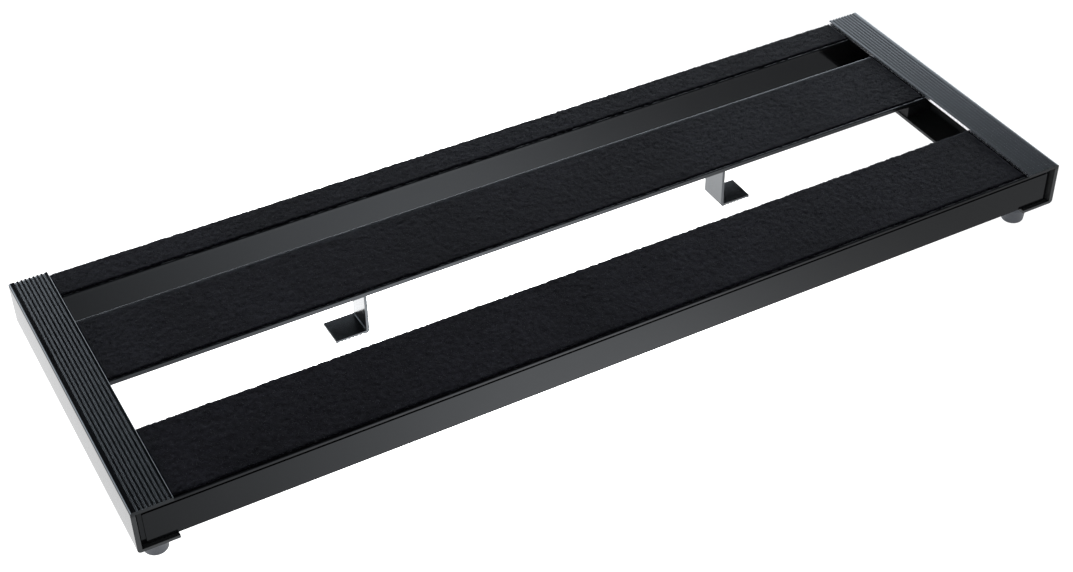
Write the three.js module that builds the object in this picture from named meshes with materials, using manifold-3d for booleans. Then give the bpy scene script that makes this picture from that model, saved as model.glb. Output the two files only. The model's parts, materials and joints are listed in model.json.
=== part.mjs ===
// Pedalboard: three loop-covered decks held between two ribbed channel rails, on four rubber feet.
//
// Millimetres. +X runs along the board, +Y from front to rear, +Z up; the origin is on the floor,
// under the board's centre. The front and rear rails are screwed to corner blocks inside the side
// rails. The middle slat rides on two slide blocks, each held by a set screw against its side rail's
// wall, so it can be moved forward or back, and its T-tracks carry two brackets for a power supply.

import * as THREE from 'three';
import { mergeVertices } from 'three/addons/utils/BufferGeometryUtils.js';
import Module from 'manifold-3d';

const wasm = await Module();
wasm.setup();

// ---------------------------------------------------------------- driving dimensions

const LENGTH = 800;
const DEPTH = 278;
const GAP = 0.3; // clearance between neighbouring solids
const ROUND_SIDES = 20; // facets around a hole or foot
const SCREW_SIDES = 16;
const ARC_SIDES = 6; // facets in each arc of an extruded section

const groove = { radius: 0.85, pitch: 3.165 }; // half-round, cut along the ribbed extrusions
const rail = {
  width: 31,
  height: 39,
  wall: 3.5,
  topFlange: 3,
  bottomFlange: 2.6,
  outerRound: { low: 3, high: 2 },
  innerRound: 0.6,
  grooves: 8,
  firstGroove: 5.5,
};

// Heights are above the side rails' bottom face; each front is measured from their front ends.
const deck = { top: 34, thickness: 2.5, inset: 4.8, lipHeight: 1, lipWidth: 1.6, returnHeight: 10 };
const nose = { height: 2.6, overhang: 1.2 }; // of the front and rear rails, over their webs
const webThickness = 2;
const frontRail = { front: 3, width: 77 };
const rearRail = { front: 247, width: 31 };
const frontPanel = { inset: 8.4, height: 28, thickness: 0.9, cornerRound: 1 };
const slat = { front: 137, width: 77.5, thickness: 3, lipHeight: 1.2, lipWidth: 1.5, edgeRound: 0.5 };

const track = { fromEdge: 11, width: 16, depth: 5.5, cavityWidth: 11, mouthWidth: 5, lip: 1.6 };
const strip = { thickness: 1.7, margin: 0.6, endGap: 0.5 };

const foot = {
  height: 25,
  topRadius: 11,
  waistRadius: 9.4,
  soleRadius: 7.4,
  soleRound: 2.4,
  boreRadius: 5.5,
  boreDepth: 14,
  fromEnd: { front: 24, rear: 22 },
};

const screwLine = 18; // from a side rail's outer face to its feet, blocks and their screws
const block = { width: 24, frontLength: 45, rearLength: 24.5, slideLength: 38 };
const tappedDepth = { below: 15, above: 13 }; // of the blocks' screw holes
const blockScrewFromEnd = { front: 40, rear: 9.5 };
const deckScrewAt = { front: [16, 40], rear: [262], besideSlatCentre: 13 };
const slide = { forward: 50, rearward: 25 }; // the middle slat's travel from where it stands

const bracket = {
  outerFace: 165, // from the board's centre
  thickness: 2.5,
  depth: 25,
  shelf: 26,
  drop: 43.5, // from the side rails' top to the shelf
  ledge: 22,
  outerBend: 3,
  innerBend: 0.6,
  behindSlatEdge: 2.5,
  grooves: 7,
  lastGroove: 3.3, // from the shelf's free edge
};
const nut = { length: 14 };

const m5 = { shank: 2.5, headRadius: 4.75, headHeight: 2.75, socket: 1.73 };
const m4 = { shank: 2, headRadius: 3.8, headHeight: 2.3, socket: 1.44 };
const footScrewLength = 27;
const deckScrewLength = 14;
const blockScrewLength = 14;
const clampScrew = { length: 27, socket: 1.44, socketDepth: 3 };
const bracketScrewLength = 7.5;
const threadChamfer = 0.6;
// Shares of a button head's radius (crown, shoulder) and height (shoulderHeight, socketFloor).
const buttonHead = { crown: 0.55, shoulder: 0.88, shoulderHeight: 0.6, socketFloor: 0.35 };
const washer = { radius: 5.1, thickness: 1 };

// ---------------------------------------------------------------- worked-out places

const underDeck = deck.top - deck.thickness;
const underSlat = deck.top - slat.thickness;
const slatLength = LENGTH - 2 * deck.inset;
const slatCentre = slat.front + slat.width / 2;
const deckScrews = {
  front: deckScrewAt.front,
  middle: [slatCentre - deckScrewAt.besideSlatCentre, slatCentre + deckScrewAt.besideSlatCentre],
  rear: deckScrewAt.rear,
};
const footFrom = { front: foot.fromEnd.front, rear: DEPTH - foot.fromEnd.rear };
const blockScrewFrom = { front: blockScrewFromEnd.front, rear: DEPTH - blockScrewFromEnd.rear };
const fromFront = (distance) => distance - DEPTH / 2;
const fromOuterFace = (side, distance) => side * (LENGTH / 2 - distance);
const aboveRailBottom = (height) => foot.height + height;

// ---------------------------------------------------------------- materials

const finish = (color, roughness, metalness) =>
  new THREE.MeshStandardMaterial({ color, roughness, metalness });
const materials = {
  extrusion: finish(0x1b1c1f, 0.35, 0.6),
  loop: finish(0x17161a, 1, 0),
  rubber: finish(0x6f7478, 0.7, 0),
  block: finish(0x2c2d30, 0.5, 0.5),
  bracket: finish(0x1d1c1c, 0.2, 0.4),
  screw: finish(0x3a3b3d, 0.4, 0.9),
  washer: finish(0x9a9b9d, 0.4, 0.9),
};

// ---------------------------------------------------------------- solids

function toSolid(geometry) {
  const bare = geometry.clone();
  bare.deleteAttribute('normal');
  bare.deleteAttribute('uv');
  const merged = mergeVertices(bare, 1e-4);
  const corners = merged.index.array;
  const triangles = [];
  for (let i = 0; i < corners.length; i += 3) {
    const [a, b, c] = [corners[i], corners[i + 1], corners[i + 2]];
    if (a !== b && b !== c && c !== a) triangles.push(a, b, c);
  }
  const vertProperties = new Float32Array(merged.attributes.position.array);
  const triVerts = new Uint32Array(triangles);
  return new wasm.Manifold(new wasm.Mesh({ numProp: 3, vertProperties, triVerts }));
}

function toGeometry(solid) {
  const mesh = solid.getMesh();
  const geometry = new THREE.BufferGeometry();
  geometry.setAttribute('position', new THREE.BufferAttribute(mesh.vertProperties, 3));
  geometry.setIndex(new THREE.BufferAttribute(mesh.triVerts, 1));
  geometry.computeVertexNormals();
  return geometry;
}

function cut(geometry, ...tools) {
  return toGeometry(tools.reduce((solid, tool) => solid.subtract(toSolid(tool)), toSolid(geometry)));
}

function join(...geometries) {
  return toGeometry(geometries.map(toSolid).reduce((whole, solid) => whole.add(solid)));
}

/** A box from its lowest to its highest corner. */
function boxBetween(low, high) {
  const size = high.map((value, axis) => value - low[axis]);
  const centre = high.map((value, axis) => (value + low[axis]) / 2);
  return new THREE.BoxGeometry(...size).translate(...centre);
}

/** An upright cylinder or cone from height low to height high. */
function upright(radius, low, high, lowRadius = radius, sides = ROUND_SIDES) {
  const geometry = new THREE.CylinderGeometry(radius, lowRadius, high - low, sides);
  return geometry.rotateX(Math.PI / 2).translate(0, 0, (low + high) / 2);
}

/** A section drawn across (X) and up (Z), extruded along Y and centred on it. */
function extrudeAlongY(shape, length, curveSegments) {
  const geometry = new THREE.ExtrudeGeometry(shape, { depth: length, bevelEnabled: false, curveSegments });
  return geometry.rotateX(Math.PI / 2).translate(0, length / 2, 0);
}

/** A section drawn rearwards (Y) and up (Z), extruded along X and centred on it. */
function extrudeAlongX(shape, length, curveSegments) {
  const geometry = new THREE.ExtrudeGeometry(shape, { depth: length, bevelEnabled: false, curveSegments });
  return geometry.rotateY(Math.PI / 2).rotateX(Math.PI / 2).translate(-length / 2, 0, 0);
}

/** A solid of revolution about Z; the outline is a list of [radius, height]. */
function revolve(outline, sides = SCREW_SIDES) {
  const points = outline.map(([radius, height]) => new THREE.Vector2(radius, height));
  return new THREE.LatheGeometry(points, sides).rotateX(Math.PI / 2);
}

// ---------------------------------------------------------------- side rails

/** The channel's section: outer face at 0, opening towards +X, ribbed on top. */
function sideRailSection() {
  const { width, height, wall, topFlange, bottomFlange, outerRound, innerRound } = rail;
  const { low, high } = outerRound;
  const shape = new THREE.Shape();
  shape.moveTo(low, 0);
  shape.lineTo(width, 0);
  shape.lineTo(width, bottomFlange);
  shape.lineTo(wall, bottomFlange);
  shape.lineTo(wall, height - topFlange);
  shape.lineTo(width, height - topFlange);
  shape.absarc(width - innerRound, height - innerRound, innerRound, 0, Math.PI / 2);
  for (let index = rail.grooves - 1; index >= 0; index -= 1) {
    const middle = rail.firstGroove + index * groove.pitch;
    shape.absarc(middle, height, groove.radius, 0, Math.PI, true);
  }
  shape.absarc(high, height - high, high, Math.PI / 2, Math.PI);
  shape.absarc(low, low, low, Math.PI, 1.5 * Math.PI);
  return shape;
}

/** Holes through the bottom flange for a rail on one side (-1 left, 1 right), in the rail's frame. */
function railHoles(side) {
  const yOf = (distance) => -side * fromFront(distance);
  const through = (radius, y) => upright(radius, -1, rail.bottomFlange + 1).translate(screwLine, y, 0);
  const sink = (y) =>
    upright(m4.shank + GAP, -0.01, m4.headHeight, m4.headRadius + GAP).translate(screwLine, y, 0);
  const holes = [];
  for (const end of ['front', 'rear']) {
    const screwY = yOf(blockScrewFrom[end]);
    holes.push(through(m5.shank + GAP, yOf(footFrom[end])), sink(screwY), through(m4.shank + GAP, screwY));
  }
  return holes;
}

/** The left rail stands as drawn; the right rail is the same bar turned half round. */
function sideRail(side) {
  return cut(extrudeAlongY(sideRailSection(), DEPTH, ARC_SIDES), ...railHoles(side));
}

// ---------------------------------------------------------------- front rail, rear rail, middle slat

/** Upright web under a rounded nose and lip, a flat deck behind them and a return at the rear. */
function edgeRailSection(width) {
  const { top, thickness, lipHeight, lipWidth, returnHeight } = deck;
  const low = rail.bottomFlange + GAP;
  const lipTop = top + lipHeight;
  const webRear = nose.overhang + webThickness;
  const shape = new THREE.Shape();
  shape.moveTo(nose.overhang, low);
  shape.lineTo(webRear, low);
  shape.lineTo(webRear, underDeck);
  shape.lineTo(width - thickness, underDeck);
  shape.lineTo(width - thickness, top - returnHeight);
  shape.lineTo(width, top - returnHeight);
  shape.lineTo(width, top);
  shape.lineTo(lipWidth, top);
  shape.lineTo(lipWidth, lipTop);
  shape.absarc(lipWidth / 2, lipTop - lipWidth / 2, lipWidth / 2, Math.PI / 2, Math.PI);
  shape.lineTo(0, lipTop - nose.height);
  shape.lineTo(nose.overhang, lipTop - nose.height);
  return shape;
}

/** A thin plate with rounded corners that lies against the front rail's web, centred on Y. */
function trimPanel() {
  const { inset, height, thickness, cornerRound } = frontPanel;
  const reach = LENGTH / 2 - inset - cornerRound;
  const quarter = Math.PI / 2;
  const shape = new THREE.Shape();
  shape.absarc(reach, cornerRound, cornerRound, -quarter, 0);
  shape.absarc(reach, height - cornerRound, cornerRound, 0, quarter);
  shape.absarc(-reach, height - cornerRound, cornerRound, quarter, 2 * quarter);
  shape.absarc(-reach, cornerRound, cornerRound, 2 * quarter, 3 * quarter);
  return extrudeAlongY(shape, thickness, ARC_SIDES);
}

/** A flat plate with a lip along each edge and two T-tracks under it, open downwards. */
function slatSection() {
  const { width, thickness, lipHeight, lipWidth, edgeRound } = slat;
  const { fromEdge, depth, cavityWidth, mouthWidth, lip } = track;
  const lipTop = thickness + lipHeight;
  const shape = new THREE.Shape();
  shape.moveTo(edgeRound, 0);
  for (const left of [fromEdge, width - fromEdge - track.width]) {
    const middle = left + track.width / 2;
    shape.lineTo(left, 0);
    shape.lineTo(left, -depth);
    shape.lineTo(middle - mouthWidth / 2, -depth);
    shape.lineTo(middle - mouthWidth / 2, -depth + lip);
    shape.lineTo(middle - cavityWidth / 2, -depth + lip);
    shape.lineTo(middle - cavityWidth / 2, 0);
    shape.lineTo(middle + cavityWidth / 2, 0);
    shape.lineTo(middle + cavityWidth / 2, -depth + lip);
    shape.lineTo(middle + mouthWidth / 2, -depth + lip);
    shape.lineTo(middle + mouthWidth / 2, -depth);
    shape.lineTo(left + track.width, -depth);
    shape.lineTo(left + track.width, 0);
  }
  shape.absarc(width - edgeRound, edgeRound, edgeRound, -Math.PI / 2, 0);
  shape.absarc(width - edgeRound, lipTop - edgeRound, edgeRound, 0, Math.PI / 2);
  shape.lineTo(width - lipWidth, lipTop);
  shape.lineTo(width - lipWidth, thickness);
  shape.lineTo(lipWidth, thickness);
  shape.lineTo(lipWidth, lipTop);
  shape.absarc(edgeRound, lipTop - edgeRound, edgeRound, Math.PI / 2, Math.PI);
  shape.absarc(edgeRound, edgeRound, edgeRound, Math.PI, 1.5 * Math.PI);
  return shape;
}

/** A countersunk hole through a deck of the given top height, at x and y. */
function deckHole(x, y, top, thickness) {
  const cone = upright(m4.headRadius + GAP, top - m4.headHeight, top + 0.01, m4.shank + GAP);
  const shaft = upright(m4.shank + GAP, top - thickness - 1, top);
  return [cone.translate(x, y, 0), shaft.translate(x, y, 0)];
}

/** Holes for one deck's end screws; front is where the deck's own frame starts. */
function deckHoles(distances, front, top, thickness) {
  return [-1, 1].flatMap((side) =>
    distances.flatMap((distance) =>
      deckHole(fromOuterFace(side, screwLine), distance - front, top, thickness)));
}

function edgeRail({ front, width }, distances) {
  const bar = extrudeAlongX(edgeRailSection(width), slatLength, ARC_SIDES);
  return cut(bar, ...deckHoles(distances, front, deck.top, deck.thickness));
}

/** The T-tracks stop short of the slide blocks, so only the plate runs into the side rails. */
function middleSlat() {
  const bar = extrudeAlongX(slatSection(), slatLength, 2);
  const trackEnd = LENGTH / 2 - rail.width - 1;
  const trims = [-1, 1].map((side) => {
    const ends = [side * trackEnd, side * LENGTH];
    return boxBetween([Math.min(...ends), -1, -track.depth - 1], [Math.max(...ends), slat.width + 1, 0]);
  });
  return cut(bar, ...trims, ...deckHoles(deckScrews.middle, slat.front, slat.thickness, slat.thickness));
}

function loopStrip(width) {
  const length = LENGTH - 2 * rail.width - 2 * strip.endGap;
  return boxBetween([-length / 2, 0, 0], [length / 2, width, strip.thickness]);
}

// ---------------------------------------------------------------- blocks

/** A block in a side rail, drilled from below and above; holes are [y, radius, depth]. */
function channelBlock(length, height, lowHoles, highHoles) {
  const body = boxBetween([-block.width / 2, 0, 0], [block.width / 2, length, height]);
  const fromBelow = lowHoles.map(([y, radius, depth]) => upright(radius, -1, depth).translate(0, y, 0));
  const fromAbove = highHoles.map(([y, radius, depth]) =>
    upright(radius, height - depth, height + 1).translate(0, y, 0));
  return cut(body, ...fromBelow, ...fromAbove);
}

const tapped5 = m5.shank + GAP;
const tapped4 = m4.shank + GAP;
const behindWeb = nose.overhang + webThickness + GAP;
const cornerBlocks = {
  front: { front: frontRail.front + behindWeb, length: block.frontLength },
  rear: { front: rearRail.front + behindWeb, length: block.rearLength },
};

function cornerBlock(end) {
  const { front, length } = cornerBlocks[end];
  const footY = footFrom[end] - front;
  const screwY = blockScrewFrom[end] - front;
  const height = underDeck - rail.bottomFlange - 2 * GAP;
  const { below, above } = tappedDepth;
  const high = deckScrews[end].map((distance) => [distance - front, tapped4, above]);
  return channelBlock(length, height, [[footY, tapped5, below], [screwY, tapped4, below]], high);
}

const slideBlockHeight = underSlat - rail.bottomFlange - 2 * GAP;

/** A block under the slat's end, with a hole right across it for its clamp screw. */
function slideBlock() {
  const middle = block.slideLength / 2;
  const high = deckScrews.middle.map((distance) =>
    [middle + distance - slatCentre, tapped4, tappedDepth.above]);
  const body = channelBlock(block.slideLength, slideBlockHeight, [], high);
  const across = upright(tapped5, -block.width, block.width).rotateY(Math.PI / 2);
  return cut(body, across.translate(0, middle, slideBlockHeight / 2));
}

// ---------------------------------------------------------------- feet and fasteners

/** A tapered rubber bumper with a bore from below for its screw, standing on z = 0. */
function rubberFoot() {
  const { topRadius, waistRadius, soleRadius, soleRound, boreRadius, boreDepth } = foot;
  const top = foot.height - GAP;
  const hole = m5.shank + GAP;
  const edge = [0, 1, 2, 3].map((step) => {
    const angle = (step / 3) * (Math.PI / 2);
    const reach = waistRadius - soleRadius;
    return [soleRadius + reach * Math.sin(angle), soleRound * (1 - Math.cos(angle))];
  });
  return revolve([
    [hole, boreDepth], [boreRadius, boreDepth], [boreRadius, 0], ...edge, [topRadius, top - 2],
    [topRadius, top], [hole, top], [hole, boreDepth],
  ], ROUND_SIDES);
}

function flatWasher() {
  const { radius, thickness } = washer;
  const hole = m5.shank + GAP;
  return revolve([[hole, 0], [radius, 0], [radius, thickness], [hole, thickness], [hole, 0]]);
}

const hexSocket = (size, low, high) => upright(size, low, high, size, 6);

/** Button-head screw pointing up, its head's seat at z = 0. */
function buttonScrew({ shank, headRadius, headHeight, socket }, length) {
  const { crown, shoulder, shoulderHeight, socketFloor } = buttonHead;
  const bolt = revolve([
    [0, -headHeight], [headRadius * crown, -headHeight],
    [headRadius * shoulder, -headHeight * shoulderHeight], [headRadius, 0], [shank, 0],
    [shank, length - threadChamfer], [shank - threadChamfer, length], [0, length],
  ]);
  return cut(bolt, hexSocket(socket, -headHeight - 1, -headHeight * socketFloor));
}

/** Countersunk screw pointing up, its flat head's face at z = 0. */
function countersunkScrew({ shank, headRadius, headHeight, socket }, length) {
  const bolt = revolve([
    [0, 0], [headRadius, 0], [shank, headHeight - GAP], [shank, length - threadChamfer],
    [shank - threadChamfer, length], [0, length],
  ]);
  return cut(bolt, hexSocket(socket, -1, headHeight * 0.6));
}

/** A headless screw pointing up, its socket at z = 0. */
function setScrew({ length, socket, socketDepth }) {
  const { shank } = m5;
  const bolt = revolve([
    [0, 0], [shank - threadChamfer, 0], [shank, threadChamfer], [shank, length - threadChamfer],
    [shank - threadChamfer, length], [0, length],
  ]);
  return cut(bolt, hexSocket(socket, -1, socketDepth));
}

// ---------------------------------------------------------------- power supply brackets

const bracketPlace = {
  ledgeTop: underSlat - track.depth - GAP,
  shelfTop: rail.height - bracket.drop,
};

/** From a bracket's front edge back to the middle of the front T-track. */
const trackMiddle = track.fromEdge + track.width / 2 - bracket.behindSlatEdge;

/** A Z: shelf outwards with ribs under it, upright, ledge inwards; side is -1 left, 1 right. */
function bracketSection(side) {
  const { thickness, shelf, ledge, outerBend, innerBend } = bracket;
  const { ledgeTop, shelfTop } = bracketPlace;
  const shelfLow = shelfTop - thickness;
  const shape = new THREE.Shape();
  const across = (distance) => side * distance;
  const bend = (x, y, radius, from, to) => {
    for (let step = 0; step <= ARC_SIDES; step += 1) {
      const angle = from + ((to - from) * step) / ARC_SIDES;
      shape.lineTo(across(x + radius * Math.cos(angle)), y + radius * Math.sin(angle));
    }
  };
  const quarter = Math.PI / 2;
  shape.moveTo(across(shelf), shelfTop);
  bend(innerBend, shelfTop + innerBend, innerBend, 3 * quarter, 2 * quarter);
  bend(-outerBend, ledgeTop - outerBend, outerBend, 0, quarter);
  shape.lineTo(across(-thickness - ledge), ledgeTop);
  shape.lineTo(across(-thickness - ledge), ledgeTop - thickness);
  bend(-thickness - innerBend, ledgeTop - thickness - innerBend, innerBend, quarter, 0);
  bend(outerBend - thickness, shelfLow + outerBend, outerBend, 2 * quarter, 3 * quarter);
  for (let index = bracket.grooves - 1; index >= 0; index -= 1) {
    bend(shelf - bracket.lastGroove - index * groove.pitch, shelfLow, groove.radius, 2 * quarter, 0);
  }
  shape.lineTo(across(shelf), shelfLow);
  return shape;
}

/** The ledge starts behind the front T-track; the upright's front part rises to the slat. */
function supplyBracket(side) {
  const { thickness, depth, ledge, outerBend } = bracket;
  const { ledgeTop } = bracketPlace;
  const tabDepth = track.fromEdge - bracket.behindSlatEdge - GAP;
  const strap = extrudeAlongY(bracketSection(side), depth, 1).translate(0, depth / 2, 0);
  const ledgeEnds = [-side * thickness, -side * (thickness + ledge + 1)];
  const low = ledgeTop - thickness - outerBend;
  const notch = boxBetween(
    [Math.min(...ledgeEnds), -1, low],
    [Math.max(...ledgeEnds), tabDepth, ledgeTop + 1],
  );
  const tabEnds = [0, -side * thickness];
  const tab = boxBetween(
    [Math.min(...tabEnds), 0, low],
    [Math.max(...tabEnds), tabDepth, underSlat - GAP],
  );
  const ledgeHole = upright(m4.shank + GAP, low, ledgeTop + 1)
    .translate(-side * (thickness + ledge / 2), trackMiddle, 0);
  return cut(join(cut(strap, notch), tab), ledgeHole);
}

function trackNut() {
  const half = [nut.length / 2, track.cavityWidth / 2 - GAP];
  const height = track.depth - track.lip - 2 * GAP;
  const body = boxBetween([-half[0], -half[1], 0], [half[0], half[1], height]);
  return cut(body, upright(m4.shank + GAP, -1, height + 1));
}

// ---------------------------------------------------------------- assembly

const board = new THREE.Group();
const movingSlat = new THREE.Group();
board.add(movingSlat);

function add(parent, name, geometry, material, [x, y, z], turn = [0, 0, 0]) {
  const mesh = new THREE.Mesh(geometry, material);
  mesh.name = name;
  mesh.position.set(x, y, z);
  mesh.rotation.set(...turn);
  parent.add(mesh);
}

const sides = [['left', -1], ['right', 1]];
const halfTurn = Math.PI;
const stripBottom = aboveRailBottom(deck.top + GAP);
const headDown = [halfTurn, 0, 0];

for (const [name, side] of sides) {
  const turn = [0, 0, side > 0 ? halfTurn : 0];
  const place = [side * LENGTH / 2, 0, foot.height];
  add(board, `${name}_side_rail`, sideRail(side), materials.extrusion, place, turn);
}

const edgeRails = { front: frontRail, rear: rearRail };
for (const [end, { front, width }] of Object.entries(edgeRails)) {
  const railPlace = [0, fromFront(front), foot.height];
  add(board, `${end}_rail`, edgeRail(edgeRails[end], deckScrews[end]), materials.extrusion, railPlace);
  const stripWidth = width - deck.lipWidth - 2 * strip.margin;
  const stripPlace = [0, fromFront(front + deck.lipWidth + strip.margin), stripBottom];
  add(board, `${end}_loop_strip`, loopStrip(stripWidth), materials.loop, stripPlace);

  const footY = fromFront(footFrom[end]);
  const screwY = fromFront(blockScrewFrom[end]);
  const washerBottom = foot.boreDepth - GAP - washer.thickness;
  for (const [name, side] of sides) {
    const corner = `${end}_${name}`;
    const x = fromOuterFace(side, screwLine);
    const blockPlace = [x, fromFront(cornerBlocks[end].front), aboveRailBottom(rail.bottomFlange + GAP)];
    add(board, `corner_block_${corner}`, cornerBlock(end), materials.block, blockPlace);
    add(board, `foot_${corner}`, rubberFoot(), materials.rubber, [x, footY, 0]);
    add(board, `foot_washer_${corner}`, flatWasher(), materials.washer,
      [x, footY, washerBottom]);
    add(board, `foot_screw_${corner}`, buttonScrew(m5, footScrewLength), materials.screw,
      [x, footY, washerBottom - GAP]);
    add(board, `block_screw_${corner}`, countersunkScrew(m4, blockScrewLength), materials.screw,
      [x, screwY, foot.height]);
    deckScrews[end].forEach((distance, index) => {
      add(board, `deck_screw_${corner}_${index + 1}`, countersunkScrew(m4, deckScrewLength),
        materials.screw, [x, fromFront(distance), aboveRailBottom(deck.top)], headDown);
    });
  }
}

const panelPlace = [
  0,
  fromFront(frontRail.front) + frontPanel.thickness / 2,
  aboveRailBottom(rail.bottomFlange + GAP),
];
add(board, 'front_panel', trimPanel(), materials.extrusion, panelPlace);

movingSlat.position.set(0, fromFront(slat.front), aboveRailBottom(underSlat));
add(movingSlat, 'middle_slat', middleSlat(), materials.extrusion, [0, 0, 0]);
const slatBorder = slat.lipWidth + strip.margin;
add(movingSlat, 'middle_loop_strip', loopStrip(slat.width - 2 * slatBorder), materials.loop,
  [0, slatBorder, slat.thickness + GAP]);

for (const [name, side] of sides) {
  const x = fromOuterFace(side, screwLine);
  const blockFront = (slat.width - block.slideLength) / 2;
  const blockBottom = rail.bottomFlange + GAP - underSlat;
  const clampStart = side * (LENGTH / 2 - rail.wall - GAP - clampScrew.length);
  add(movingSlat, `slide_block_${name}`, slideBlock(), materials.block, [x, blockFront, blockBottom]);
  add(movingSlat, `clamp_screw_${name}`, setScrew(clampScrew), materials.screw,
    [clampStart, slat.width / 2, blockBottom + slideBlockHeight / 2], [0, side * Math.PI / 2, 0]);
  deckScrews.middle.forEach((distance, index) => {
    add(movingSlat, `deck_screw_middle_${name}_${index + 1}`, countersunkScrew(m4, deckScrewLength),
      materials.screw, [x, distance - slat.front, slat.thickness], headDown);
  });

  const holder = new THREE.Group();
  holder.position.set(side * bracket.outerFace, bracket.behindSlatEdge, -underSlat);
  movingSlat.add(holder);
  const screwX = -side * (bracket.thickness + bracket.ledge / 2);
  const ledgeBottom = bracketPlace.ledgeTop - bracket.thickness;
  add(holder, `supply_bracket_${name}`, supplyBracket(side), materials.bracket, [0, 0, 0]);
  add(holder, `bracket_screw_${name}`, buttonScrew(m4, bracketScrewLength), materials.screw,
    [screwX, trackMiddle, ledgeBottom - GAP]);
  add(holder, `track_nut_${name}`, trackNut(), materials.washer,
    [screwX, trackMiddle, bracketPlace.ledgeTop + GAP + track.lip + GAP]);
}

export default board;
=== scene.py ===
"""Pedalboard: three loop-covered decks between ribbed black side rails, on rubber feet.

+X runs along the board, +Y from front to rear, +Z up. Blender works in metres, so lengths that
describe the real object are written as millimetres times MM. Each piece takes its place from the
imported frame, and the CAD nodes it stands for are hidden.
"""

import json
import math

import bmesh
import bpy
import numpy as np
from mathutils import Matrix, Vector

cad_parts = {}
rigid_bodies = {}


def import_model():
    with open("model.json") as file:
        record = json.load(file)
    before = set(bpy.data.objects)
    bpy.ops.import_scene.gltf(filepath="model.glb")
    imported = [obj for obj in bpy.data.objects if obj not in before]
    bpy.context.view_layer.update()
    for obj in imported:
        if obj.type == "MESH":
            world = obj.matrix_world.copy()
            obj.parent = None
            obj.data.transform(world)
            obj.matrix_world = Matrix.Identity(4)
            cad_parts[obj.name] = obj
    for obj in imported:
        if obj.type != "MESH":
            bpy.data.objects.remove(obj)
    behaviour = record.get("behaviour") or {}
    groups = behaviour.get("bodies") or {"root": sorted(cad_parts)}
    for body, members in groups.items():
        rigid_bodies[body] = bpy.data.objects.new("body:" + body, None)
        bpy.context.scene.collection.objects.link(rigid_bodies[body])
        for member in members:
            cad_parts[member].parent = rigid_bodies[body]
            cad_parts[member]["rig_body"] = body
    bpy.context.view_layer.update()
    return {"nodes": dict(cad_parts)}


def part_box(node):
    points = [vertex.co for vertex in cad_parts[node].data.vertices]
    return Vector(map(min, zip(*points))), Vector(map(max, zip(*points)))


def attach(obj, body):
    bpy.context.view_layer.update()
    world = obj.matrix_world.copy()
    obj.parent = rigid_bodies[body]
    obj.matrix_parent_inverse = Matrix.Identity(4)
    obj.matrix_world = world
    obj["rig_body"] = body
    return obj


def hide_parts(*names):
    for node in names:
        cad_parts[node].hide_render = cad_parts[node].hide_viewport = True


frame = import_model()

MM = 0.001
SIDES = ("left", "right")
CORNERS = [f"{end}_{side}" for end in ("front", "rear") for side in SIDES]

# ------------------------------------------------------------------ driving values

VIEW = {
    "place": (-0.5715, -1.0337, 0.9664),
    "azimuth": 28.296,
    "elevation": 39.326,
    "roll": -0.924,
    "lens": 62.77,
}
BACKDROP_COLOUR = (0.86, 0.93, 1.0, 1)
# The backdrop's radiance by degrees above the horizon: bright low down, then a dark ceiling.
BACKDROP = (
    (0, 9), (26, 9), (28, 7), (31, 5.6), (33, 3.2), (34.3, 0.4), (35.5, 0.1), (37.5, 0.04), (90, 0.03),
)
# Directions whose +Y part is over "to" look behind the board and see the full backdrop. Those under
# "from" see only the share "elsewhere" of it.
BEHIND = {"from": 0.2, "to": 0.55, "elsewhere": 0.12}
FLOOR = {
    "side": 14,
    "albedo": 0.08,
    "glow": 0.98,
    "pool": 3.9,
    "pool_middle": -0.06,
    "pool_reach": 0.22,
}
SOFTBOX = {"place": (-0.2, 0.1, 1.9), "size": 1.4, "power": 2}

EDGE_ROUND = {
    "ribbed": 0.06 * MM,
    "extrusion": 0.22 * MM,
    "block": 0.5 * MM,
    "bracket": 0.25 * MM,
    "nut": 0.3 * MM,
    "panel": 0.4 * MM,
}
FLAT = math.radians(0.6)  # facets that meet at less than this are one face
SHARP = math.radians(40)  # edges that turn by more than this are rounded
LONG_EDGE = 1.2 * MM  # shorter edges, such as those round a hole, stay sharp
RAIL_TOP = (59 * MM, 61 * MM)  # heights over which the painted light on a side rail's inside gives way to its top
BARE_REACH = 0.1 * MM  # how near a rail's inner edge a face is milled bare

CLOTH = {
    "pitch": 1.05 * MM,
    "fine": 0.05 * MM,
    "coarse": 0.03 * MM,
    "coarse_passes": 6,
    "rim_radius": 0.45 * MM,
    "rim_fall": 0.85,
    "ragged": 0.28 * MM,
}
LOOP = {
    "area_each": 7 * MM * MM,
    "rim_spacing": 0.75 * MM,
    "rim_width": 0.7 * MM,
    "end_margin": 1 * MM,
    "side_margin": 0.8 * MM,
    "tip_margin": 0.1 * MM,
    "sunk": 0.25 * MM,
    "rim_sunk": (0.1 * MM, 0.9 * MM),
    "radius": 0.085 * MM,
    "sides": 3,
    "span": (0.9 * MM, 2.0 * MM),
    "rise": (0.3 * MM, 0.9 * MM),
    "lean": 0.3 * MM,
    "light_share": 0.22,
}
STRIP_SEEDS = {"front": 7, "middle": 17, "rear": 27}
M5 = {"shank": 2.5 * MM, "head": 4.75 * MM, "height": 2.75 * MM, "socket": 1.73 * MM, "pitch": 0.8 * MM}
M4 = {"shank": 2.0 * MM, "head": 3.8 * MM, "height": 2.3 * MM, "socket": 1.44 * MM, "pitch": 0.7 * MM}
THREAD_DEPTH = 0.3 * MM
SCREW_SIDES = 30
FOOT_SIDES = 72
FOOT = {
    "top": 11 * MM,
    "waist": 9.4 * MM,
    "sole": 7.4 * MM,
    "sole_round": 2.4 * MM,
    "bore": 5.5 * MM,
    "bore_depth": 14 * MM,
    "hole": 2.8 * MM,
    "height": 24.7 * MM,
    "shoulder": 2 * MM,
    "parting_line": 13 * MM,
}


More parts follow.
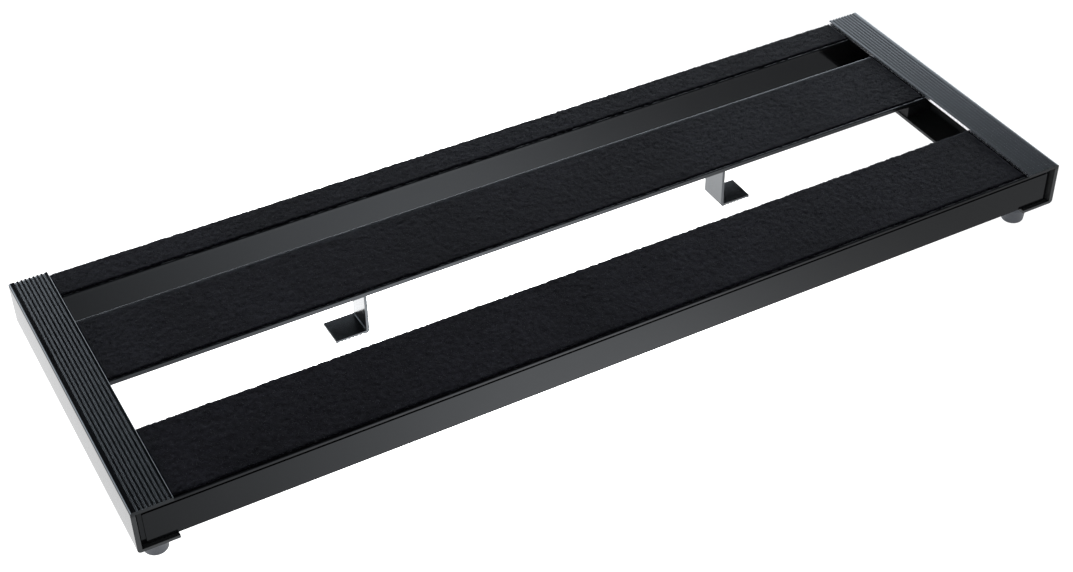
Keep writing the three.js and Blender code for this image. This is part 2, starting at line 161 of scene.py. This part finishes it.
# ------------------------------------------------------------------ camera, floor and light

def make_camera():
    """The photo's camera, solved from the parallel edges of the rails."""
    azimuth, elevation = math.radians(VIEW["azimuth"]), math.radians(VIEW["elevation"])
    camera = bpy.data.objects.new("camera", bpy.data.cameras.new("camera"))
    camera.data.lens = VIEW["lens"]
    camera.data.sensor_width = 36
    camera.data.clip_end = 50
    turn = Matrix.Rotation(-azimuth, 4, "Z") @ Matrix.Rotation(math.pi / 2 - elevation, 4, "X")
    roll = Matrix.Rotation(math.radians(VIEW["roll"]), 4, "Z")
    camera.matrix_world = Matrix.Translation(VIEW["place"]) @ turn @ roll
    bpy.context.scene.collection.objects.link(camera)
    bpy.context.scene.camera = camera


def make_floor():
    """A pale light table that outshines all shadows, with a soft pool of light across its middle."""
    half = FLOOR["side"] / 2
    mesh = bpy.data.meshes.new("floor")
    mesh.from_pydata([(-half, -half, 0), (half, -half, 0), (half, half, 0), (-half, half, 0)], [],
                     [(0, 1, 2, 3)])
    floor = bpy.data.objects.new("floor", mesh)
    bpy.context.scene.collection.objects.link(floor)
    look = Look("pale_floor", (FLOOR["albedo"],) * 3, 0.6, emission=(1, 1, 1), specular=0)
    along = look.node("ShaderNodeSeparateXYZ", [look.place()]).outputs["X"]
    from_middle = look.calculate(along, FLOOR["pool_middle"], "SUBTRACT")
    reaches = look.calculate(from_middle, FLOOR["pool_reach"], "DIVIDE")
    bell = look.calculate(math.exp(-1), look.calculate(reaches, 2.0, "POWER"), "POWER")
    pool = look.calculate(bell, FLOOR["pool"], "MULTIPLY")
    look.feed("Emission Strength", look.calculate(pool, FLOOR["glow"]))
    mesh.materials.append(look.material)


def make_light():
    """A bright backdrop behind the board, dimmer all round, a dark ceiling and a soft top light."""
    world = bpy.data.worlds.new("studio")
    bpy.context.scene.world = world
    world.use_nodes = True
    nodes, links = world.node_tree.nodes, world.node_tree.links
    direction = nodes.new("ShaderNodeTexCoord")
    height = nodes.new("ShaderNodeSeparateXYZ")
    fade = nodes.new("ShaderNodeFloatCurve")
    curve = fade.mapping.curves[0]
    brightest = max(radiance for _, radiance in BACKDROP)
    while len(curve.points) < len(BACKDROP):
        curve.points.new(0.5, 0.5)
    for point, (degrees, radiance) in zip(curve.points, BACKDROP):
        point.location = (math.sin(math.radians(degrees)), radiance / brightest)
        point.handle_type = "VECTOR"
    fade.mapping.update()
    behind = nodes.new("ShaderNodeMapRange")
    for name, value in (("From Min", BEHIND["from"]), ("From Max", BEHIND["to"]),
                        ("To Min", BEHIND["elsewhere"] * brightest), ("To Max", brightest)):
        behind.inputs[name].default_value = value
    strength = nodes.new("ShaderNodeMath")
    strength.operation = "MULTIPLY"
    links.new(direction.outputs["Generated"], height.inputs[0])
    links.new(height.outputs["Z"], fade.inputs["Value"])
    links.new(height.outputs["Y"], behind.inputs["Value"])
    links.new(fade.outputs[0], strength.inputs[0])
    links.new(behind.outputs["Result"], strength.inputs[1])
    links.new(strength.outputs[0], nodes["Background"].inputs["Strength"])
    nodes["Background"].inputs["Color"].default_value = BACKDROP_COLOUR

    lamp = bpy.data.lights.new("softbox", "AREA")
    lamp.size = SOFTBOX["size"]
    lamp.energy = SOFTBOX["power"]
    softbox = bpy.data.objects.new("softbox", lamp)
    softbox.location = SOFTBOX["place"]
    softbox.visible_camera = False
    bpy.context.scene.collection.objects.link(softbox)
    bpy.context.scene.view_settings.view_transform = "Standard"


# ------------------------------------------------------------------ materials

class Look:
    """A material: its Principled shader and the nodes that feed it."""

    def __init__(self, name, colour, roughness, metallic=0.0, specular=0.5, sheen=0.0, emission=(0, 0, 0)):
        self.material = bpy.data.materials.new(name)
        self.material.use_nodes = True
        self.nodes = self.material.node_tree.nodes
        self.links = self.material.node_tree.links
        self.shader = self.nodes["Principled BSDF"]
        values = {
            "Base Color": (*colour, 1),
            "Roughness": roughness,
            "Metallic": metallic,
            "Specular IOR Level": specular,
            "IOR": 1.5,
            "Sheen Weight": sheen,
            "Sheen Roughness": 0.5,
            "Emission Color": (*emission, 1),
        }
        for socket, value in values.items():
            self.shader.inputs[socket].default_value = value

    def node(self, kind, inputs=(), **settings):
        """A new node; inputs are the numbers, vectors or sockets for its first inputs, in order."""
        made = self.nodes.new(kind)
        for name, value in settings.items():
            setattr(made, name, value)
        for socket, value in zip(made.inputs, inputs):
            self.give(socket, value)
        return made

    def give(self, socket, value):
        if isinstance(value, bpy.types.NodeSocket):
            self.links.new(value, socket)
        elif value is not None:
            socket.default_value = value

    def feed(self, name, value):
        self.give(self.shader.inputs[name], value)

    def place(self, scale=(1, 1, 1)):
        """A point's place in metres, stretched by scale."""
        coordinates = self.node("ShaderNodeTexCoord").outputs["Object"]
        mapping = self.node("ShaderNodeMapping", [coordinates])
        mapping.inputs["Scale"].default_value = scale
        return mapping.outputs["Vector"]

    def noise(self, place, scale, detail=2.0, roughness=0.5, distortion=0.0):
        made = self.node("ShaderNodeTexNoise", [place])
        made.inputs["Scale"].default_value = scale
        made.inputs["Detail"].default_value = detail
        made.inputs["Roughness"].default_value = roughness
        made.inputs["Distortion"].default_value = distortion
        return made.outputs["Fac"]

    def cells(self, place, scale):
        made = self.node("ShaderNodeTexVoronoi", [place])
        made.inputs["Scale"].default_value = scale
        return made.outputs["Distance"]

    def calculate(self, first, second, operation="ADD"):
        return self.node("ShaderNodeMath", [first, second], operation=operation).outputs[0]

    def remap(self, value, source, target):
        return self.node("ShaderNodeMapRange", [value, *source, *target]).outputs["Result"]

    def ramp(self, value, *stops):
        """Colours along a value; each stop is (position, colour)."""
        made = self.node("ShaderNodeValToRGB", [value])
        elements = made.color_ramp.elements
        while len(elements) < len(stops):
            elements.new(0.5)
        for element, (position, colour) in zip(elements, stops):
            element.position = position
            element.color = (*colour, 1)
        return made.outputs["Color"]

    def mix(self, share, first, second):
        """A mix of two colours, whose sockets come after the node's ones for numbers and vectors."""
        made = self.node("ShaderNodeMix", data_type="RGBA")
        for index, value in ((0, share), (6, first), (7, second)):
            self.give(made.inputs[index], value)
        return made.outputs[2]

    def bump(self, height, distance, strength=1.0, below=None):
        made = self.node("ShaderNodeBump")
        made.inputs["Strength"].default_value = strength
        made.inputs["Distance"].default_value = distance
        self.give(made.inputs["Height"], height)
        self.give(made.inputs["Normal"], below)
        return made.outputs["Normal"]

    def edges(self, radius):
        """0 on flats and 1 where a corner turns within the radius."""
        softened = self.node("ShaderNodeBevel", [radius], samples=4).outputs["Normal"]
        true = self.node("ShaderNodeNewGeometry").outputs["True Normal"]
        together = self.node("ShaderNodeVectorMath", [softened, true], operation="DOT_PRODUCT")
        turned = self.calculate(1.0, together.outputs["Value"], "SUBTRACT")
        return self.remap(turned, (0.02, 0.25), (0, 1))


def anodised(name, along, tone, roughness, specular=0.22, inside=None):
    """Black anodised aluminium: faint die lines along one axis, slow clouds, rubbed edges.

    inside is a lighter tone painted on a side rail's inside, below its ribbed top: painted light standing
    in for the light that reaches into the channel."""
    look = Look(name, (tone, tone, 1.1 * tone), roughness, specular=specular)
    line_scale = [1500, 1500, 1500]
    line_scale[along] = 2.5
    lines = look.noise(look.place(line_scale), 1, detail=2)
    clouds = look.noise(look.place(), 14, detail=4, roughness=0.6)
    grain = look.noise(look.place(), 2600, detail=1)
    dull = (0.8 * tone, 0.8 * tone, 0.9 * tone)
    pale = (1.3 * tone, 1.3 * tone, 1.4 * tone)
    body = look.ramp(clouds, (0.3, dull), (0.7, pale))
    # Painted light: below its top, a side rail's inside is painted in the lighter inside tone.
    if inside:
        height = look.node("ShaderNodeSeparateXYZ", [look.place()]).outputs["Z"]
        painted_light_below_top = look.remap(height, RAIL_TOP, (1, 0))
        body = look.mix(painted_light_below_top, body, (inside, inside, inside, 1))
    rubbed = look.calculate(look.edges(0.35 * MM), look.remap(clouds, (0.45, 0.7), (0.0, 0.5)), "MULTIPLY")
    look.feed("Base Color", look.mix(rubbed, body, (0.012, 0.012, 0.013, 1)))
    smooth, rough = roughness - 0.04, roughness + 0.05
    look.feed("Roughness", look.remap(look.calculate(lines, clouds), (0.6, 1.4), (smooth, rough)))
    look.shader.inputs["Specular Tint"].default_value = (0.84, 0.92, 1.0, 1)
    die_lines = look.bump(lines, 0.004 * MM, strength=0.15)
    look.feed("Normal", look.bump(grain, 0.002 * MM, strength=0.2, below=die_lines))
    return look.material


def loop_cloth():
    """Black napped loop fabric: tangled curls, clumped tufts and slow changes of tone."""
    look = Look("loop_cloth", (0.01, 0.01, 0.011), 0.5, specular=0.008)
    place = look.place()
    curls = look.noise(place, 1700, detail=3, roughness=0.65, distortion=1.6)
    tufts = look.cells(place, 620)
    clumps = look.noise(place, 260, detail=3, roughness=0.6)
    drift = look.noise(place, 11, detail=3)
    blend = look.calculate(look.calculate(curls, clumps), look.calculate(drift, 0.6, "MULTIPLY"))
    tone = look.ramp(
        look.remap(blend, (0.85, 1.65), (0, 1)),
        (0.1, (0.0008, 0.0007, 0.0012)),
        (0.55, (0.0028, 0.0026, 0.0038)),
        (1.0, (0.009, 0.0085, 0.0115)),
    )
    look.feed("Base Color", tone)
    look.feed("Roughness", look.remap(clumps, (0.3, 0.7), (0.35, 0.5)))
    rough = look.bump(tufts, 0.3 * MM, strength=0.3)
    look.feed("Normal", look.bump(curls, 0.25 * MM, strength=0.5, below=rough))
    return look.material


def fibre(name, tone):
    """The dull nylon yarn of the loops that stand out of the fabric."""
    return Look(name, tone, 0.7, specular=0.1).material


def rubber():
    """Smoky grey moulded rubber with a fine matt skin and a little dust."""
    look = Look("smoky_rubber", (0.06, 0.06, 0.07), 0.5, specular=0.3, sheen=0.02)
    place = look.place()
    skin = look.noise(place, 2200, detail=2)
    dust = look.noise(place, 130, detail=4, roughness=0.7)
    look.feed("Base Color", look.ramp(dust, (0.35, (0.045, 0.048, 0.056)), (0.7, (0.07, 0.075, 0.085))))
    look.feed("Roughness", look.remap(dust, (0.3, 0.7), (0.42, 0.62)))
    look.feed("Normal", look.bump(skin, 0.03 * MM, strength=0.6))
    return look.material


def machined(name, dark, light, roughness, metallic, scale, specular=0.5):
    """Turned or milled metal: fine tool marks, mottled plating and bright edges."""
    look = Look(name, dark, roughness, metallic=metallic, specular=specular)
    place = look.place()
    marks = look.noise(look.place((scale, scale, 6 * scale)), 1, detail=2)
    mottle = look.noise(place, 420, detail=3)
    worn = tuple(min(1.0, 2.2 * part) for part in light)
    tone = look.ramp(mottle, (0.35, dark), (0.65, light))
    look.feed("Base Color", look.mix(look.edges(0.3 * MM), tone, (*worn, 1)))
    look.feed("Roughness", look.remap(marks, (0.3, 0.7), (roughness - 0.06, roughness + 0.1)))
    look.feed("Normal", look.bump(marks, 0.012 * MM, strength=0.6))
    return look.material


# ------------------------------------------------------------------ pieces

def add_piece(name, mesh, materials, node, place=None):
    """A piece that rides where a CAD node rides; meshes that several pieces share get materials once."""
    piece = bpy.data.objects.new(name, mesh)
    bpy.context.scene.collection.objects.link(piece)
    if place:
        piece.matrix_world = place
    if not mesh.materials:
        for material in materials:
            mesh.materials.append(material)
    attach(piece, frame["nodes"][node]["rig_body"])
    return piece


def rounded(node, width):
    """A CAD node's shape with its flats merged and its long corners rounded; holes keep crisp rims."""
    mesh = bpy.data.meshes.new(f"{node}_rounded")
    work = bmesh.new()
    work.from_mesh(frame["nodes"][node].data)
    bmesh.ops.remove_doubles(work, verts=work.verts, dist=0.002 * MM)
    bmesh.ops.dissolve_limit(work, angle_limit=FLAT, verts=work.verts, edges=work.edges)
    corners = [edge for edge in work.edges
               if edge.calc_face_angle(0) > SHARP and edge.calc_length() > LONG_EDGE]
    bmesh.ops.bevel(work, geom=corners, offset=width, segments=2, profile=0.6, affect="EDGES")
    work.to_mesh(mesh)
    work.free()
    mesh.shade_smooth()
    mesh.set_sharp_from_angle(angle=SHARP)
    return mesh


def add_rounded(node, width, material):
    """A piece in a CAD node's own shape with rounded corners, in the node's stead."""
    piece = add_piece(f"{node}_finished", rounded(node, width), [material], node)
    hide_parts(node)
    normals = piece.modifiers.new("flat_faces_stay_flat", "WEIGHTED_NORMAL")
    normals.keep_sharp = True
    return piece


def bare_inner_edge(rail, node, metal):
    """The top flange's inner edge is milled after anodising, so it is bright metal."""
    low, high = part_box(node)
    inner_edge = min(abs(low.x), abs(high.x)) + BARE_REACH
    rail.data.materials.append(metal)
    for face in rail.data.polygons:
        upright = abs(face.normal.x) > 0.999
        if upright and abs(face.center.x) < inner_edge and face.center.z > high.z / 2:
            face.material_index = 1


def ring_mesh(name, rings, sides, closed):
    """A round mesh from rings, each a function of the angle that gives (radius, height).

    Closed rings meet end to end, as a washer's do; otherwise both ends are capped."""
    angles = np.arange(sides) * 2 * math.pi / sides
    points = []
    for ring in rings:
        for angle in angles:
            radius, height = ring(angle)
            points.append((radius * math.cos(angle), radius * math.sin(angle), height))
    faces = []
    count = len(rings)
    for low in range(count if closed else count - 1):
        high = (low + 1) % count
        for at in range(sides):
            beside = (at + 1) % sides
            corners = ((low, at), (low, beside), (high, beside), (high, at))
            faces.append([level * sides + step for level, step in corners])
    if not closed:
        faces.append(tuple(reversed(range(sides))))
        faces.append(tuple(range((count - 1) * sides, count * sides)))
    mesh = bpy.data.meshes.new(name)
    mesh.from_pydata(points, [], faces)
    work = bmesh.new()
    work.from_mesh(mesh)
    bmesh.ops.recalc_face_normals(work, faces=work.faces)
    work.to_mesh(mesh)
    work.free()
    mesh.shade_smooth()
    mesh.set_sharp_from_angle(angle=SHARP)
    return mesh


def plain(radius, height):
    """A round ring."""
    return lambda angle: (radius, height)


def hexagon(size, height):
    """A ring in the shape of a socket's hexagon; size is from its middle to a corner."""
    sixth = math.pi / 3
    return lambda angle: (size * math.cos(sixth / 2) / math.cos(angle % sixth - sixth / 2), height)


def thread(shank, pitch, low, high):
    """Rings of a right-hand thread from low to high."""
    steps = round(3 * (high - low) / pitch)

    def ring(height):
        def point(angle):
            turn = (height / pitch - angle / (2 * math.pi)) % 1
            return shank - THREAD_DEPTH * (1 - abs(2 * turn - 1)), height
        return point

    return [ring(low + (high - low) * step / steps) for step in range(steps + 1)]


def shank_rings(size, low, length):
    """The threaded shank above a head's seat, with a tapered tip."""
    shank = size["shank"]
    tip = 0.6 * MM
    return [
        plain(shank, low),
        *thread(shank, size["pitch"], low + 0.5 * MM, length - tip),
        plain(shank - tip, length),
    ]


def button_screw(name, size, length):
    """Domed head under z = 0 with a hexagon socket, threaded shank above."""
    head, height, socket = size["head"], size["height"], size["socket"]
    floor = -0.35 * height
    dome = [plain(head * math.cos(a), -0.15 * height - 0.85 * height * math.sin(a))
            for a in np.radians([62, 50, 40, 30, 20, 10, 0])]
    rings = [
        hexagon(0.3 * socket, floor), hexagon(socket, floor), hexagon(socket, -0.9 * height),
        plain(1.12 * socket, -0.93 * height), *dome, plain(head, -0.05 * height),
        plain(0.97 * head, 0), *shank_rings(size, 0, length),
    ]
    return ring_mesh(name, rings, SCREW_SIDES, closed=False)


def countersunk_screw(name, size, length):
    """Flat head with its face at z = 0 and a cone under it, threaded shank above."""
    head, height, socket = size["head"], size["height"], size["socket"]
    floor = 0.6 * height
    rings = [
        hexagon(0.3 * socket, floor), hexagon(socket, floor), hexagon(socket, 0.1 * height),
        plain(1.12 * socket, 0), plain(0.97 * head, 0), plain(head, 0.04 * height),
        plain(head, 0.1 * height), *shank_rings(size, height - 0.3 * MM, length),
    ]
    return ring_mesh(name, rings, SCREW_SIDES, closed=False)


def washer_mesh(name, node):
    """A stamped washer: rounded on one face, with a slight burr round its hole."""
    low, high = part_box(node)
    radius, thick = (high.x - low.x) / 2, high.z - low.z
    hole, soft = M5["shank"] + 0.3 * MM, 0.2 * MM
    rings = [
        plain(hole, 0), plain(radius, 0), plain(radius, thick - soft), plain(radius - soft, thick),
        plain(hole + soft, thick), plain(hole, thick - soft),
    ]
    return ring_mesh(name, rings, FOOT_SIDES, closed=True)


def foot_mesh():
    """A tapered bumper with a rolled sole, a parting line and a bore for its screw."""
    top, waist, sole, roll = FOOT["top"], FOOT["waist"], FOOT["sole"], FOOT["sole_round"]
    height, hole, bore, depth = FOOT["height"], FOOT["hole"], FOOT["bore"], FOOT["bore_depth"]
    shoulder_low, line = height - FOOT["shoulder"], FOOT["parting_line"]
    soft = 0.7 * MM

    def side(level):
        share = (level - roll) / (shoulder_low - roll)
        return waist + (top - waist) * share

    sole_edge = [plain(sole + (waist - sole) * math.sin(a), roll * (1 - math.cos(a)))
                 for a in np.radians(range(0, 91, 15))]
    parting = [plain(side(line + step * MM), line + step * MM) for step in (-0.25, 0.25)]
    parting.insert(1, plain(side(line) + 0.12 * MM, line))
    shoulder = [plain(top - soft + soft * math.cos(a), height - soft + soft * math.sin(a))
                for a in np.radians(range(0, 91, 30))]
    rings = [
        plain(hole, depth), plain(bore - soft, depth), plain(bore, depth - soft), plain(bore, soft),
        plain(bore + soft, 0), *sole_edge, *parting, plain(top, shoulder_low), *shoulder,
        plain(hole + 0.4 * MM, height), plain(hole, height - 0.4 * MM),
    ]
    return ring_mesh("rubber_foot", rings, FOOT_SIDES, closed=True)


def set_round(node, mesh, material, head_down=False):
    """A round piece on its CAD node's axis and in its stead, built up from below or hung head down."""
    low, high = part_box(node)
    heights = [vertex.co.z for vertex in mesh.vertices]
    start = high.z if head_down else low.z - min(heights)
    turn = Matrix.Rotation(math.pi, 4, "X") if head_down else Matrix.Identity(4)
    place = Matrix.Translation(((low.x + high.x) / 2, (low.y + high.y) / 2, start)) @ turn
    piece = add_piece(f"{node}_finished", mesh, [material], node, place)
    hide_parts(node)


# ------------------------------------------------------------------ loop strips

def softened(field, passes):
    """A random field blurred a number of times and brought back to a spread of 1."""
    for _ in range(passes):
        for axis in (0, 1):
            field = (np.roll(field, 1, axis) + 2 * field + np.roll(field, -1, axis)) / 4
    return field / field.std()


def rim_drop(distance):
    """How far the pile falls away near a cut edge."""
    radius = CLOTH["rim_radius"]
    inside = np.clip(radius - distance, 0, radius)
    return radius - np.sqrt(radius ** 2 - CLOTH["rim_fall"] * inside ** 2)


def cloth_mesh(name, low, high, seed):
    """A closed strip: flat below, tufted above, rounded off and a little ragged at its rims."""
    chance = np.random.default_rng(seed)
    columns = round((high.x - low.x) / CLOTH["pitch"]) + 1
    rows = round((high.y - low.y) / CLOTH["pitch"]) + 1
    x, y = np.linspace(low.x, high.x, columns), np.linspace(low.y, high.y, rows)
    fine = softened(chance.standard_normal((columns, rows)), 1)
    coarse = softened(chance.standard_normal((columns, rows)), CLOTH["coarse_passes"])
    from_end = np.minimum(x - low.x, high.x - x)[:, None]
    from_side = np.minimum(y - low.y, high.y - y)[None, :]
    lift = CLOTH["fine"] * fine + CLOTH["coarse"] * coarse
    fall = np.maximum(rim_drop(from_end), rim_drop(from_side))
    top = np.empty((columns, rows, 3))
    top[..., 0], top[..., 1] = x[:, None], y[None, :]
    top[..., 2] = high.z - fall + lift
    ragged = softened(chance.standard_normal((columns, 2)), 1) * CLOTH["ragged"]
    top[:, 0, 1] += ragged[:, 0]
    top[:, -1, 1] += ragged[:, 1]
    front_wall, rear_wall = top[:, :1].copy(), top[:, -1:].copy()
    front_foot, rear_foot = front_wall.copy(), rear_wall.copy()
    for wall, foot in ((front_wall, front_foot), (rear_wall, rear_foot)):
        wall[..., 2] = (low.z + wall[..., 2]) / 2
        foot[..., 2] = low.z
    points = np.concatenate([front_foot, front_wall, top, rear_wall, rear_foot], axis=1)
    around = points.shape[1]
    number = np.arange(columns * around).reshape(columns, around)
    beside = np.roll(number, -1, axis=1)
    quads = np.stack([number[:-1], number[1:], beside[1:], beside[:-1]], axis=-1).reshape(-1, 4)
    mesh = bpy.data.meshes.new(name)
    mesh.from_pydata(points.reshape(-1, 3).tolist(), [],
                     quads.tolist() + [number[0].tolist(), number[-1, ::-1].tolist()])
    mesh.shade_smooth()
    return mesh


def loop_mesh(name, low, high, seed):
    """Separate yarn loops that stand out of a strip, more of them along its rims."""
    chance = np.random.default_rng(seed)
    length, width = high.x - low.x, high.y - low.y
    inner = round(length * width / LOOP["area_each"])
    rim = round(2 * length / LOOP["rim_spacing"])
    count = inner + rim
    place = np.empty((count, 3))
    place[:, 0] = chance.uniform(low.x + LOOP["end_margin"], high.x - LOOP["end_margin"], count)
    place[:inner, 1] = chance.uniform(low.y + LOOP["side_margin"], high.y - LOOP["side_margin"], inner)
    edge = chance.integers(0, 2, rim)
    place[inner:, 1] = low.y + edge * width + (1 - 2 * edge) * chance.uniform(0, LOOP["rim_width"], rim)
    place[:, 2] = high.z - LOOP["sunk"]
    place[inner:, 2] -= chance.uniform(*LOOP["rim_sunk"], rim)
    heading = chance.uniform(0, 2 * math.pi, count)
    span = chance.uniform(*LOOP["span"], count)
    rise = chance.uniform(*LOOP["rise"], count)
    lean = chance.normal(0, LOOP["lean"], count)
    across = np.stack([np.cos(heading), np.sin(heading), np.zeros(count)], axis=-1)
    aside = np.stack([-np.sin(heading), np.cos(heading), np.zeros(count)], axis=-1)
    up = np.array([0.0, 0.0, 1.0])
    shares = np.array([0, 0.3, 0.7, 1])
    arch = 4 * shares * (1 - shares)
    line = (place[:, None] + across[:, None] * (span[:, None] * (shares - 0.5))[..., None]
            + up * (rise[:, None] * arch)[..., None]
            + aside[:, None] * (lean[:, None] * arch)[..., None])
    line[..., 0] = np.clip(line[..., 0], low.x + LOOP["tip_margin"], high.x - LOOP["tip_margin"])
    tangent = np.gradient(line, axis=1)
    tangent /= np.linalg.norm(tangent, axis=-1, keepdims=True)
    sideways = np.cross(tangent, up)
    sideways /= np.linalg.norm(sideways, axis=-1, keepdims=True) + 1e-9
    outward = np.cross(sideways, tangent)
    rings, sides = len(shares), LOOP["sides"]
    turns = 2 * math.pi * np.arange(sides) / sides
    ring = sideways[:, :, None] * np.cos(turns)[:, None] + outward[:, :, None] * np.sin(turns)[:, None]
    points = line[:, :, None] + LOOP["radius"] * ring
    number = np.arange(count * rings * sides).reshape(count, rings, sides)
    beside = np.roll(number, -1, axis=2)
    walls = np.stack([number[:, :-1], beside[:, :-1], beside[:, 1:], number[:, 1:]], axis=-1)
    faces = walls.reshape(-1, 4).tolist()
    faces += number[:, 0, ::-1].tolist() + number[:, -1].tolist()
    mesh = bpy.data.meshes.new(name)
    mesh.from_pydata(points.reshape(-1, 3).tolist(), [], faces)
    light = chance.random(count) < LOOP["light_share"]
    index = np.concatenate([np.repeat(light, (rings - 1) * sides), light, light]).astype(np.int32)
    mesh.polygons.foreach_set("material_index", index)
    mesh.shade_smooth()
    return mesh


def add_strip(deck, seed, cloth, fibres):
    """A deck's cloth and the loops that stand out of it."""
    node = f"{deck}_loop_strip"
    low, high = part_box(node)
    strip = add_piece(f"{deck}_loop_cloth", cloth_mesh(node, low, high, seed), [cloth], node)
    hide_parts(node)
    loops = loop_mesh(f"{deck}_pile", low, high, seed + 1)
    pile = add_piece(f"{deck}_loop_pile", loops, fibres, node)


# ------------------------------------------------------------------ assembly

make_camera()
make_floor()
make_light()

along_x = anodised("black_anodised_x", 0, 0.003, 0.12, specular=0.12)
slat_black = anodised("slat_black", 0, 0.003, 0.12, specular=0.3)
# The side rails' insides get the lighter inside tone, which is painted light on the channel walls.
along_y = anodised("black_anodised_y", 1, 0.003, 0.1, inside=0.03)
bracket_black = anodised("bracket_black", 1, 0.005, 0.18, specular=0.65)
block_black = machined("milled_block", (0.005, 0.005, 0.006), (0.009, 0.009, 0.01), 0.45, 0.0, 500,
                       specular=0.12)
screw_black = machined("blackened_steel", (0.03, 0.03, 0.032), (0.06, 0.06, 0.062), 0.32, 0.9, 900)
bare_metal = machined("bare_milled_edge", (0.6, 0.6, 0.62), (0.8, 0.8, 0.82), 0.2, 1.0, 700)
zinc = machined("zinc_plate", (0.35, 0.35, 0.34), (0.5, 0.5, 0.49), 0.35, 1.0, 700)
foot_rubber = rubber()
cloth = loop_cloth()
fibres = [
    fibre("yarn_dark", (0.004, 0.0038, 0.005)),
    fibre("yarn_light", (0.012, 0.0115, 0.014)),
]

for side in SIDES:
    node = f"{side}_side_rail"
    rail = add_rounded(node, EDGE_ROUND["ribbed"], along_y)
    bare_inner_edge(rail, node, bare_metal)
add_rounded("front_panel", EDGE_ROUND["panel"], along_x)
decks = {
    "front": add_rounded("front_rail", EDGE_ROUND["extrusion"], along_x),
    "middle": add_rounded("middle_slat", EDGE_ROUND["extrusion"], slat_black),
    "rear": add_rounded("rear_rail", EDGE_ROUND["extrusion"], along_x),
}
for deck, support in decks.items():
    add_strip(deck, STRIP_SEEDS[deck], cloth, fibres)

foot = foot_mesh()
foot_screw = button_screw("foot_screw", M5, 27 * MM)
block_screw = countersunk_screw("block_screw", M4, 14 * MM)
deck_screw = countersunk_screw("deck_screw", M4, 14 * MM)
foot_washer = washer_mesh("foot_washer", "foot_washer_front_left")
for corner in CORNERS:
    add_rounded(f"corner_block_{corner}", EDGE_ROUND["block"], block_black)
    set_round(f"foot_{corner}", foot, foot_rubber)
    set_round(f"foot_washer_{corner}", foot_washer, zinc)
    set_round(f"foot_screw_{corner}", foot_screw, screw_black)
    set_round(f"block_screw_{corner}", block_screw, screw_black)
for node in frame["nodes"]:
    if node.startswith("deck_screw_"):
        set_round(node, deck_screw, screw_black, head_down=True)

bracket_screw = button_screw("bracket_screw", M4, 7.5 * MM)
for side in SIDES:
    add_rounded(f"slide_block_{side}", EDGE_ROUND["block"], block_black)
    add_rounded(f"clamp_screw_{side}", EDGE_ROUND["nut"], screw_black)
    add_rounded(f"supply_bracket_{side}", EDGE_ROUND["bracket"], bracket_black)
    set_round(f"bracket_screw_{side}", bracket_screw, screw_black)
    add_rounded(f"track_nut_{side}", EDGE_ROUND["nut"], zinc)
